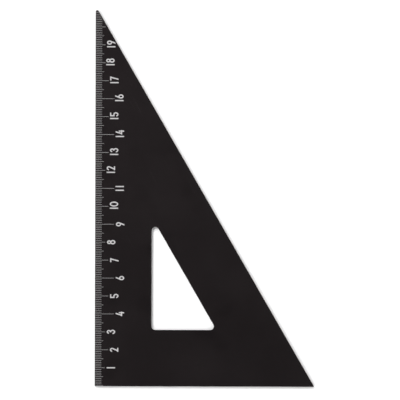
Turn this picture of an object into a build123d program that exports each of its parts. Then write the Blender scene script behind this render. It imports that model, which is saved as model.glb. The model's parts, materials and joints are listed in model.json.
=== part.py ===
from build123d import *
import math
import os

# Flat 30-60-90 set square in anodised aluminium, with an engraved and paint-filled scale.
# It lies on Z = 0 with its marks facing +Z. The right-angle corner is the origin, the scale edge
# runs along +Y, the base edge along +X, and the slanted edge joins their ends. Millimetres.

# Plate
long_leg = 212.0  # scale edge, from the right angle to the sharp tip
tip_angle = 30.0  # degrees, between the scale edge and the slanted edge
thickness = 2.0
frame_width = 31.5  # from each outer edge to the window, square to the edge
tip_radius = 0.85
corner_radius = 0.3  # at the two wider corners
window_radius = 2.05
edge_round = 0.2  # on both faces, all round the outline and the window

# Engraving and the paint in it
groove_depth = 0.12
paint_drop = 0.02  # the paint dries this far below the face

# Lines of the scale, each length measured from the scale edge
millimetre = 1.0
zero_gap = 0.05  # flat metal between the rounded base edge and the zero line
line_width = 0.14
edge_gap = 0.05  # flat metal between a line's end and the rounded edge of the plate
shortest_line = 1.2  # a line that the slanted edge leaves no longer than this is left out
millimetre_length = 3.65
half_centimetre_length = 4.75
centimetre_lengths = {"short": 5.55, "middle": 7.35, "long": 10.5}

# The centimetre lines step in and out along the scale in this order, starting at 1
centimetre_order = [
    "short", "middle", "short", "long", "middle",
    "long", "middle", "short", "long", "middle",
    "long", "short", "middle", "long", "middle",
    "long", "middle", "short", "short", "short",
]

# Numbers, read along the scale with the tops of the digits towards the scale edge
number_height = 4.68
number_stroke = 0.66
single_gap = 1.1  # from a line's end to the single digit beyond it
pair_gap = 0.8  # the same for two digits
pair_nudge = {16: -0.35, 18: -0.45}  # these two stand closer to their lines than the others
number_margin = 1.0  # bare metal that a number needs beyond it, on its line
least_gap = 0.2  # near the tip a number may move this close to its line to keep that margin
tens_centre = -1.05  # the middle of a digit of a pair, up the scale from its line
units_centre = 1.25
units_centre_eleven = 1.03

# Digits
oval_width = 2.8  # the nought
bowl_width = 2.36  # the lower ring of 3, 5, 6 and 8
bowl_height = 2.86
head_width = 2.08  # the upper ring of 2, 3 and 8
ring_overlap = 0.6  # how far the upper and lower rings run into each other
two_width = 2.2
two_foot_middle = -0.66
three_cut = 0.2  # a three's rings end this far left of the middle
four_width = 2.42
four_bar_bottom = 1.06
four_stem_top = 2.92
four_stem_middle = 0.68
four_foot_middle = -0.78
four_top_middle = 0.3
five_left = -1.08
five_right = 0.98
five_tail_top = 1.22
six_top_middle = 0.35
seven_width = 2.2
seven_foot_middle = -0.46

tip_tangent = math.tan(math.radians(tip_angle))
slant_step = 1 / math.cos(math.radians(tip_angle))  # along X for each millimetre off the slanted edge
half_stroke = number_stroke / 2
line_start = edge_round + edge_gap  # inside the scale edge, and inside the slanted edge
zero_offset = edge_round + zero_gap + line_width / 2  # middle of the zero line above the base edge


def slant_x(y, inset):
    """X of the line that runs inset inside the slanted edge, at height y."""
    return (long_leg - y) * tip_tangent - inset * slant_step


def right_triangle(inset):
    """Corners of the outline moved inwards by inset on all three sides."""
    top_y = long_leg - (inset + inset * slant_step) / tip_tangent
    return [(inset, inset), (slant_x(inset, inset), inset), (inset, top_y)]


def blank():
    """The cut-out plate with its edges rounded over, before engraving."""
    outline = Polygon(*right_triangle(0), align=None)
    outline = fillet(outline.vertices().sort_by(Axis.Y)[:2], corner_radius)
    outline = fillet(outline.vertices().sort_by(Axis.Y)[-1], tip_radius)
    window = Polygon(*right_triangle(frame_width), align=None)
    window = fillet(window.vertices(), window_radius)
    plate = extrude(outline - window, amount=thickness)
    flat_edges = plate.edges().group_by(Axis.Z)
    return fillet(flat_edges[0] + flat_edges[-1], edge_round)


def line_at(step, length):
    """One line of the scale, as many millimetre steps from zero, cut short by the slanted edge."""
    y = zero_offset + step * millimetre
    end = min(length, slant_x(y + line_width / 2, line_start))
    return Pos((line_start + end) / 2, y) * Rectangle(end - line_start, line_width)


def last_step():
    """The last millimetre step whose line is long enough to be worth having."""
    room = line_start + shortest_line + line_start * slant_step
    return math.floor((long_leg - room / tip_tangent - zero_offset) / millimetre)


def centimetre_kind(number):
    return centimetre_order[(number - 1) % len(centimetre_order)]


def box(left, bottom, right, top):
    return Pos((left + right) / 2, (bottom + top) / 2) * Rectangle(right - left, top - bottom)


def slope(foot, head):
    """A straight stroke between two points, its ends cut level."""
    lean = math.atan2(head[0] - foot[0], head[1] - foot[1])
    reach = half_stroke / math.cos(lean)
    corners = [
        (foot[0] - reach, foot[1]),
        (foot[0] + reach, foot[1]),
        (head[0] + reach, head[1]),
        (head[0] - reach, head[1]),
    ]
    return Polygon(*corners, align=None)


def ring(width, height, middle):
    """An oval stroke that stands on the Y axis, with its middle at a height."""
    outside = Ellipse(width / 2, height / 2)
    inside = Ellipse(width / 2 - number_stroke, height / 2 - number_stroke)
    return Pos(0, middle) * (outside - inside)


def touch(width, height, middle, point):
    """Where a straight stroke from a point runs smoothly into a ring's own stroke."""
    across = width / 2 - half_stroke
    up = height / 2 - half_stroke
    u = point[0] / across
    v = (point[1] - middle) / up
    angle = math.atan2(v, u) + math.acos(1 / math.hypot(u, v))
    return across * math.cos(angle), middle + up * math.sin(angle)


head_height = number_height - bowl_height + ring_overlap
head_middle = number_height - head_height / 2
bowl_middle = bowl_height / 2


def one():
    return box(-half_stroke, 0, half_stroke, number_height)


def two():
    foot = (two_foot_middle, 0)
    meeting = touch(two_width, head_height, head_middle, foot)
    right_side = box(0, meeting[1], two_width, number_height)
    left_side = box(-two_width, head_middle, 0, number_height)
    arch = ring(two_width, head_height, head_middle) & (right_side + left_side)
    base = box(-two_width / 2, 0, two_width / 2, number_stroke)
    return arch + slope(foot, meeting) + base


def three():
    return eight() - box(-bowl_width, bowl_middle, -three_cut, head_middle)


def four():
    bar = box(-four_width / 2, four_bar_bottom, four_width / 2, four_bar_bottom + number_stroke)
    stem = box(four_stem_middle - half_stroke, 0, four_stem_middle + half_stroke, four_stem_top)
    rise = slope((four_foot_middle, four_bar_bottom), (four_top_middle, number_height))
    return bar + stem + rise


def five():
    shelf = bowl_height - number_stroke
    bowl = ring(bowl_width, bowl_height, bowl_middle) - box(-bowl_width, five_tail_top, 0, shelf)
    stem = box(five_left, shelf, five_left + number_stroke, number_height)
    bar = box(five_left, number_height - number_stroke, five_right, number_height)
    return bowl + stem + bar


def six():
    head = (six_top_middle, number_height)
    meeting = touch(bowl_width, bowl_height, bowl_middle, head)
    return ring(bowl_width, bowl_height, bowl_middle) + slope(meeting, head)


def seven():
    right = seven_width / 2
    bar = box(-right, number_height - number_stroke, right, number_height)
    return bar + slope((seven_foot_middle, 0), (right - half_stroke, number_height))


def eight():
    return ring(bowl_width, bowl_height, bowl_middle) + ring(head_width, head_height, head_middle)


def nine():
    return Pos(0, number_height) * Rot(0, 0, 180) * six()


def nought():
    return ring(oval_width, number_height, number_height / 2)


digits = [nought(), one(), two(), three(), four(), five(), six(), seven(), eight(), nine()]


def line_height(number):
    """Y of the centimetre line that a number belongs to."""
    return zero_offset + 10 * number * millimetre


def line_end(number):
    return centimetre_lengths[centimetre_kind(number)]


def number_start(number):
    """How far from the scale edge the top of a number is."""
    gap = single_gap if number < 10 else pair_gap + pair_nudge.get(number, 0)
    room = slant_x(line_height(number), 0) - number_margin - number_height
    return min(line_end(number) + gap, room)


def number_fits(number):
    return number_start(number) > line_end(number) + least_gap


def number_marks(number):
    """The digits of one number, each where it stands on the plate."""
    tens, units = divmod(number, 10)
    places = [(units, 0)]
    if tens:
        places = [(tens, tens_centre), (units, units_centre_eleven if units == 1 else units_centre)]
    baseline = number_start(number) + number_height
    y = line_height(number)
    return [Pos(baseline, y + centre) * Rot(0, 0, 90) * digits[digit] for digit, centre in places]


def scale_marks():
    """Every node of the scale by name, with its marks as flat shapes."""
    marks = {"zero_line": [line_at(0, half_centimetre_length)]}
    lines = {"millimetre_lines": [], "half_centimetre_lines": []}
    lines.update({f"centimetre_lines_{kind}": [] for kind in centimetre_lengths})
    for step in range(1, last_step() + 1):
        if step % 10 == 0:
            kind = centimetre_kind(step // 10)
            lines[f"centimetre_lines_{kind}"].append(line_at(step, line_end(step // 10)))
        elif step % 5 == 0:
            lines["half_centimetre_lines"].append(line_at(step, half_centimetre_length))
        else:
            lines["millimetre_lines"].append(line_at(step, millimetre_length))
    marks.update(lines)
    for number in range(1, last_step() // 10 + 1):
        if number_fits(number):
            marks[f"number_{number:02d}"] = number_marks(number)
    return marks


def groove(mark):
    """What the engraver takes out for one mark, running out past the face."""
    return Pos(0, 0, thickness - groove_depth) * extrude(mark, amount=2 * groove_depth)


def paint(mark):
    return Pos(0, 0, thickness - groove_depth) * extrude(mark, amount=groove_depth - paint_drop)


def main():
    os.makedirs("parts", exist_ok=True)
    marks = scale_marks()
    grooves = [groove(mark) for group in marks.values() for mark in group]
    export_step(blank() - grooves, "parts/plate.step")
    for name, group in marks.items():
        fills = [paint(mark).solid() for mark in group]
        export_step(Compound(fills), f"parts/{name}.step")


main()
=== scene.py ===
import json
import math
import bpy
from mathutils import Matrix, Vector


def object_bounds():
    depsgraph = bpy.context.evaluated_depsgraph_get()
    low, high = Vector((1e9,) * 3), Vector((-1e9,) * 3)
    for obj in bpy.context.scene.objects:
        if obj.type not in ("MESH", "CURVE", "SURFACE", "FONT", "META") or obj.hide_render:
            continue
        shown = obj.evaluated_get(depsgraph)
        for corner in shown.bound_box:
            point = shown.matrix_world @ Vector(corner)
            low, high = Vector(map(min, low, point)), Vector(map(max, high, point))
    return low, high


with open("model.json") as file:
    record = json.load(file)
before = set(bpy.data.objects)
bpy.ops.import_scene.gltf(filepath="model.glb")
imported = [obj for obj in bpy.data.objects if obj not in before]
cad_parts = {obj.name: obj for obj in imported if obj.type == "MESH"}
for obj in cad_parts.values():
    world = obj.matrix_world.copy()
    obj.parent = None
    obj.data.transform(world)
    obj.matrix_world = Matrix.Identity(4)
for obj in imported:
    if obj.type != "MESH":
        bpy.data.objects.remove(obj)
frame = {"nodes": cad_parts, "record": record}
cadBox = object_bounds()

nodes = frame["nodes"]
mounts = {mount["name"]: mount for mount in frame["record"]["mounts"]}
scene = bpy.context.scene
low, high = cadBox
middle = (low + high) / 2
print("frame loaded:", len(nodes), "nodes")


# Shader maths: a socket with the usual operators, so that masks read like sums
class Sock:
    def __init__(self, graph, link):
        self.graph, self.link = graph, link

    def math(self, operation, *inputs):
        return self.graph.node("ShaderNodeMath", {"operation": operation}, inputs)

    def __add__(self, other):
        return self.math("ADD", self, other)

    def __radd__(self, other):
        return self.math("ADD", other, self)

    def __sub__(self, other):
        return self.math("SUBTRACT", self, other)

    def __rsub__(self, other):
        return self.math("SUBTRACT", other, self)

    def __mul__(self, other):
        return self.math("MULTIPLY", self, other)

    def __rmul__(self, other):
        return self.math("MULTIPLY", other, self)

    def atMost(self, other):
        return self.math("MINIMUM", self, other)

    def atLeast(self, other):
        return self.math("MAXIMUM", self, other)

    def fade(self, start, end):  # 0 before start, 1 after end, smooth between
        return self.graph.node("ShaderNodeMapRange", {"interpolation_type": "SMOOTHSTEP"},
                               {"Value": self, "From Min": start, "From Max": end}, "Result")


class Graph:
    def __init__(self, tree):
        self.tree = tree

    def node(self, kind, settings=None, inputs=(), output=0):  # inputs in order, or by name or number
        made = self.tree.nodes.new(kind)
        for key, value in (settings or {}).items():
            setattr(made, key, value)
        pairs = inputs.items() if isinstance(inputs, dict) else enumerate(inputs)
        for key, value in pairs:
            self.put(made.inputs[key], value)
        return Sock(self, made.outputs[output])

    def put(self, socket, value):
        if isinstance(value, Sock):
            self.tree.links.new(value.link, socket)
        else:
            socket.default_value = value

    def mix(self, share, first, second):  # sockets 6 and 7 are the two colours, output 2 their mix
        first, second = ((*shade, 1) if isinstance(shade, tuple) else shade for shade in (first, second))
        return self.node("ShaderNodeMix", {"data_type": "RGBA"}, {"Factor": share, 6: first, 7: second}, 2)

    def vector(self, operation, *inputs, output="Vector"):
        return self.node("ShaderNodeVectorMath", {"operation": operation}, inputs, output)

    def upward(self, vector):  # the Z part of a vector
        return self.node("ShaderNodeSeparateXYZ", None, [vector], "Z")


class Finish(Graph):
    def __init__(self, name):
        self.material = bpy.data.materials.new(name)
        self.material.use_nodes = True
        super().__init__(self.material.node_tree)
        self.shader = self.tree.nodes["Principled BSDF"]
        self.place = self.node("ShaderNodeTexCoord", output="Object")

    def set(self, **values):
        for key, value in values.items():
            self.put(self.shader.inputs[key.replace("_", " ")], value)

    # size in metres, or one for each axis, where 1 keeps the plate even along it; a seed moves the pattern
    def noise(self, size, detail=2, rough=0.5, turn=0, seed=0):
        sizes = size if isinstance(size, tuple) else (size, size, size)
        spot = self.node("ShaderNodeMapping", {"vector_type": "TEXTURE"},
                         {"Vector": self.place, "Location": (seed, 0.7 * seed, 0.3 * seed),
                          "Rotation": (0, 0, math.radians(turn)), "Scale": sizes})
        return self.node("ShaderNodeTexNoise", None, {"Vector": spot, "Scale": 1, "Detail": detail,
                                                      "Roughness": rough}, "Fac")

    def bump(self, height):  # height in metres
        return self.node("ShaderNodeBump", None, {"Height": height, "Distance": 1}, "Normal")


def windowShape():  # frame width and corner radius, read off the window's straight left wall
    plate = nodes["plate"].data
    wall = max((face for face in plate.polygons if face.normal.x > 0.999), key=lambda face: face.area)
    points = [plate.vertices[number].co for number in wall.vertices]
    width = points[0].x
    return width, min(point.y for point in points) - width


def windowCorners(inset):  # centres of the three corner arcs, at one inset from all the outer edges
    slanted = mounts["slanted_edge"]
    across, up = slanted["axis"][:2]
    reach = Vector(slanted["axis"]).dot(Vector(slanted["pos_m"])) - inset
    return [Vector((inset, inset, 0)), Vector(((reach - up * inset) / across, inset, 0)),
            Vector((inset, (reach - across * inset) / up, 0))]


def edgeDistance(finish):  # how far a point of the plate is from the nearest outer or window edge
    flat = finish.vector("MULTIPLY", finish.place, (1, 1, 0))
    distances = []
    for name in ("scale_edge", "base_edge", "slanted_edge"):
        out, spot = Vector(mounts[name]["axis"]), Vector(mounts[name]["pos_m"])
        distances.append(out.dot(spot) - finish.vector("DOT_PRODUCT", flat, out, output="Value"))
    width, radius = windowShape()
    corners = windowCorners(width + radius)
    for start, end in zip(corners, corners[1:] + corners[:1]):  # a side of the window, ends rounded
        side = end - start
        away = finish.vector("SUBTRACT", flat, start)
        share = finish.vector("DOT_PRODUCT", away, side / side.length_squared, output="Value")
        nearest = finish.vector("MULTIPLY", side, share.atLeast(0).atMost(1))
        distances.append(finish.vector("DISTANCE", away, nearest, output="Value") - radius)
    least = distances[0]
    for distance in distances[1:]:
        least = least.atMost(distance)
    return least


anodising = {
    # sizes and depths in metres, fades as the noise values where a mask starts and is full
    "black": (0.0046, 0.0038, 0.0040),
    "cloudBlack": (0.0062, 0.0053, 0.0055),  # soft uneven dye
    "cloudSize": 0.035,
    "cloudFade": (0.35, 0.75),
    "wornAndHighlight": (0.045, 0.041, 0.041),  # lighter colour: handling wear at the edges and bare metal in the scratches, also a painted highlight along the edges
    # band along the edges lightened to the colour above, partly wear and partly a painted highlight
    "edgeWidth": 0.0006,
    "edgeWearAndHighlight": 0.7,
    "patchSize": 0.006,  # the lighter edge, part wear and part painted highlight, comes and goes along the edges
    "patchFade": (0.35, 0.7),
    "gloss": 0.195,
    "glossTint": (1.0, 0.82, 0.86, 1.0),
    "roughness": 0.39,
    "roughnessSpread": 0.10,
    "handledSmoother": 0.05,
    "handledSize": 0.018,
    "handledFade": (0.55, 0.75),
    "grainSize": 0.00024,  # blasted before it was dyed
    "grainDepth": 0.00004,
    "grainRoughness": 0.16,
    "grainShade": 0.35,  # how much of the dye's unevenness is grain
    "grainFade": (0.35, 0.65),
    "scratchLength": 0.030,
    "scratchWidth": 0.00016,
    "scratchTurns": (23, 71, 118, 164),  # degrees from the base edge
    "scratchFade": (0.74, 0.82),
    "scratchSpread": 0.036,  # size of the areas that are scratched
    "spreadFade": (0.5, 0.7),
    "scratchDepth": 0.000006,
    "scratchShine": 0.5,
    "underScuff": 0.05,  # extra scratches on the underside, which slides on the work
    "underFade": (0.5, 1.0),
    "sawPitch": 0.00009,  # fine lines left along the side walls
    "sawDepth": 0.000005,
}


def scratchMarks(finish):
    look = anodising
    facing = finish.upward(finish.node("ShaderNodeTexCoord", output="Normal"))
    under = (0 - facing).fade(*look["underFade"])
    marks = 0
    for count, turn in enumerate(look["scratchTurns"]):
        line = finish.noise((look["scratchLength"], look["scratchWidth"], 1), detail=1, turn=turn, seed=count)
        area = finish.noise(look["scratchSpread"], detail=1, seed=11 + count).fade(*look["spreadFade"])
        marks = marks + (line + under * look["underScuff"]).fade(*look["scratchFade"]) * area.atLeast(under)
    return marks.atMost(1)


def anodisedMetal():
    look = anodising
    finish = Finish("anodisedMetal")
    grain = finish.noise(look["grainSize"], detail=3, rough=0.6)
    cloud = finish.noise(look["cloudSize"], detail=4, rough=0.55, seed=3)
    handled = finish.noise(look["handledSize"], detail=2, seed=8).fade(*look["handledFade"])
    patches = finish.noise(look["patchSize"], detail=3, seed=5).fade(*look["patchFade"])
    sawLines = finish.noise((1, 1, look["sawPitch"]), detail=2, rough=0.6, seed=2)
    scratches = scratchMarks(finish)
    # lightens the edges: partly handling wear, partly a painted highlight as if the rounded edges caught the
    # light
    wearAndHighlight = (1 - edgeDistance(finish).fade(0, look["edgeWidth"])) * patches * look["edgeWearAndHighlight"]
    shade = cloud.fade(*look["cloudFade"]) * (1 - look["grainShade"])
    shade = shade + grain.fade(*look["grainFade"]) * look["grainShade"]
    dye = finish.mix(shade, look["black"], look["cloudBlack"])
    # painted highlight and wear along the edges, bare metal in the scratches
    bareAndHighlight = (wearAndHighlight + scratches * look["scratchShine"]).atMost(1)
    finish.set(Base_Color=finish.mix(bareAndHighlight, dye, look["wornAndHighlight"]),
               Roughness=look["roughness"] + (cloud - 0.5) * look["roughnessSpread"]
               + (grain - 0.5) * look["grainRoughness"] - handled * look["handledSmoother"],
               Specular_IOR_Level=look["gloss"], Specular_Tint=look["glossTint"],
               Normal=finish.bump(grain * look["grainDepth"] - scratches * look["scratchDepth"]
                                  + sawLines * look["sawDepth"]))
    return finish.material


paint = {
    "lineWhite": (0.447, 0.434, 0.439),
    "numberWhite": (0.462, 0.453, 0.458),
    "thin": 0.86,  # how bright the paint is where it dried thinnest
    "thinFade": (0.3, 0.6),
    "roughness": 0.55,
    "roughnessSpread": 0.2,
    "poolSize": 0.0012,
    "grainSize": 0.00012,
    "grainShade": 0.3,
    "grainDepth": 0.000006,
    "gloss": 0.35,
}


def scalePaint(name, white):
    look = paint
    finish = Finish(name)
    pool = finish.noise(look["poolSize"], detail=3, seed=4)
    grain = finish.noise(look["grainSize"], detail=2)
    cover = (pool * (1 - look["grainShade"]) + grain * look["grainShade"]).fade(*look["thinFade"])
    thinWhite = tuple(look["thin"] * part for part in white)
    finish.set(Base_Color=finish.mix(cover, thinWhite, white),
               Roughness=look["roughness"] + (pool - 0.5) * look["roughnessSpread"],
               Specular_IOR_Level=look["gloss"],
               Normal=finish.bump((pool + grain) * look["grainDepth"]))
    return finish.material


finishes = {
    "anodised_metal": anodisedMetal(),
    "line_paint": scalePaint("linePaint", paint["lineWhite"]),
    "number_paint": scalePaint("numberPaint", paint["numberWhite"]),
}
for part in frame["record"]["subparts"]:
    nodes[part["node"]].data.materials[0] = finishes[part["material_slot"]]
print("finishes made:", ", ".join(finishes))

studio = {
    "floorSize": 3.0,
    "floorDrop": 0.00005,  # clear of the underside
    "floorColour": (0.94, 0.94, 0.94, 1.0),
    "floorRoughness": 0.9,
    "walls": (0.75, 0.75, 0.75),
    "ceiling": (0.03, 0.03, 0.03),  # dark, so that the plate stays black from above
    "wallFade": (0.35, 0.8),  # sines of the angles above level where the walls end and the ceiling starts
    "lamps": [
        # name, place from the middle of the plate, size, watts
        ("key", (-1.1, 1.15, 1.9), 1.3, 50.0),
        ("back", (0.2, 1.2, 1.1), 1.4, 5.0),
        ("front", (-0.7, -0.9, 1.0), 0.8, 11.0),
        ("side", (1.2, 0.1, 1.0), 0.8, 6.0),
    ],
}


def makeFloor():
    half = studio["floorSize"] / 2
    corners = [(middle.x + x * half, middle.y + y * half, low.z - studio["floorDrop"])
               for x, y in ((-1, -1), (1, -1), (1, 1), (-1, 1))]
    mesh = bpy.data.meshes.new("floor")
    mesh.from_pydata(corners, [], [(0, 1, 2, 3)])
    finish = Finish("floorPaper")
    finish.set(Base_Color=studio["floorColour"], Roughness=studio["floorRoughness"], Specular_IOR_Level=0)
    mesh.materials.append(finish.material)
    floor = bpy.data.objects.new("floor", mesh)
    scene.collection.objects.link(floor)


def makeRoom():
    scene.world = bpy.data.worlds.new("studio")
    scene.world.use_nodes = True
    room = Graph(scene.world.node_tree)
    height = room.upward(room.node("ShaderNodeTexCoord", output="Generated"))
    colour = room.mix(height.fade(*studio["wallFade"]), studio["walls"], studio["ceiling"])
    room.put(room.tree.nodes["Background"].inputs["Color"], colour)


def makeLamps():
    for name, place, size, watts in studio["lamps"]:
        light = bpy.data.lights.new(name, "AREA")
        light.size, light.energy = size, watts
        lamp = bpy.data.objects.new(name, light)
        lamp.location = middle + Vector(place)
        lamp.rotation_euler = (middle - lamp.location).to_track_quat("-Z", "Y").to_euler()
        scene.collection.objects.link(lamp)


makeFloor()
makeRoom()
makeLamps()
print("studio lit:", len(studio["lamps"]), "lamps")

view = {
    "lens": 300.0,  # mm, long enough that the edges show no side
    "sensor": 36.0,
    "fill": 0.9404,  # how much of the picture's height the plate takes
    "shift": (-0.00267, -0.00086, 0.0),  # metres from the middle of the plate
    "turn": 0.17,  # degrees
    "farClip": 10,  # times the camera's height
}


def makeCamera():
    data = bpy.data.cameras.new("camera")
    data.lens, data.sensor_width = view["lens"], view["sensor"]
    width = (high.y - low.y) / view["fill"]  # the picture is square
    height = width * view["lens"] / view["sensor"]
    data.clip_end = view["farClip"] * height
    camera = bpy.data.objects.new("camera", data)
    camera.location = middle + Vector(view["shift"])
    camera.location.z = high.z + height
    camera.rotation_euler = (0, 0, math.radians(view["turn"]))
    scene.collection.objects.link(camera)
    scene.camera = camera


makeCamera()
scene.view_settings.view_transform = "Standard"
print("camera placed")
